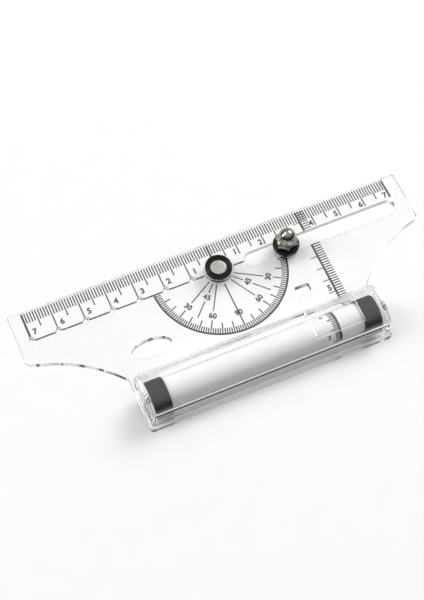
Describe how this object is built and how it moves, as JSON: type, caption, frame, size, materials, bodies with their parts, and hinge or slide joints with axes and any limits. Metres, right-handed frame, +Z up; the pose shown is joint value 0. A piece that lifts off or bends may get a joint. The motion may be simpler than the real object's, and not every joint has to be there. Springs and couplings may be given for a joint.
{
  "type": "rolling ruler",
  "caption": "Clear rolling ruler with a bevelled scale edge, protractor, pencil holes, compass pivot, clamped radius slider in a slot, and a covered roller with rubber end rings.",
  "frame": {"origin": "middle of the ruler's length and depth, on the table that the rubber rings and the foot pad stand on", "axes": "+X along the scale towards its slotted end, +Y across the ruler from the roller to the scale edge, +Z up"},
  "size_m": [0.15, 0.0588, 0.0156],
  "materials": {
    "clear_plastic": "clear polished moulded plastic",
    "white_plastic": "smooth white moulded plastic",
    "black_rubber": "satin black rubber, finely ribbed round the rings",
    "black_plastic": "satin black moulded plastic",
    "nickel": "bright nickel plating",
    "steel": "plain drawn steel"
  },
  "bodies": {
    "ruler": {"ruler_plate": "clear_plastic", "roller_cover": "clear_plastic", "reading_window": "clear_plastic", "pivot_bezel": "black_plastic", "axle_pin_left": "steel", "axle_pin_right": "steel"},
    "roller": {"roller_tube": "white_plastic", "rubber_ring_left": "black_rubber", "rubber_ring_right": "black_rubber", "end_plug_left": "black_plastic", "end_plug_right": "black_plastic"},
    "pivot": {"pivot_hub": "black_plastic", "pivot_disc": "nickel", "pivot_retainer": "steel", "foot_pad": "black_rubber"},
    "slider": {"slider_foot": "clear_plastic", "slider_guide": "black_plastic", "slider_disc": "black_plastic", "slider_screw": "steel"},
    "nut": {"cap_nut": "nickel"}
  },
  "joints": [
    {"name": "roller_spin", "type": "hinge", "parent": "ruler", "child": "roller", "pos_m": [0, -0.02016, 0.00637], "axis": [1, 0, 0], "continuous": true},
    {"name": "pivot_turn", "type": "hinge", "parent": "ruler", "child": "pivot", "pos_m": [0, 0.01772, 0.001], "axis": [0, 0, 1], "continuous": true},
    {"name": "slider_travel", "type": "slide", "parent": "ruler", "child": "slider", "axis": [1, 0, 0], "range_m": [-0.0129, 0.0406]},
    {"name": "nut_turn", "type": "hinge", "parent": "slider", "child": "nut", "pos_m": [0.0259, 0.01698, 0.0052], "axis": [0, 0, 1], "range_deg": [0, 360]}
  ]
}
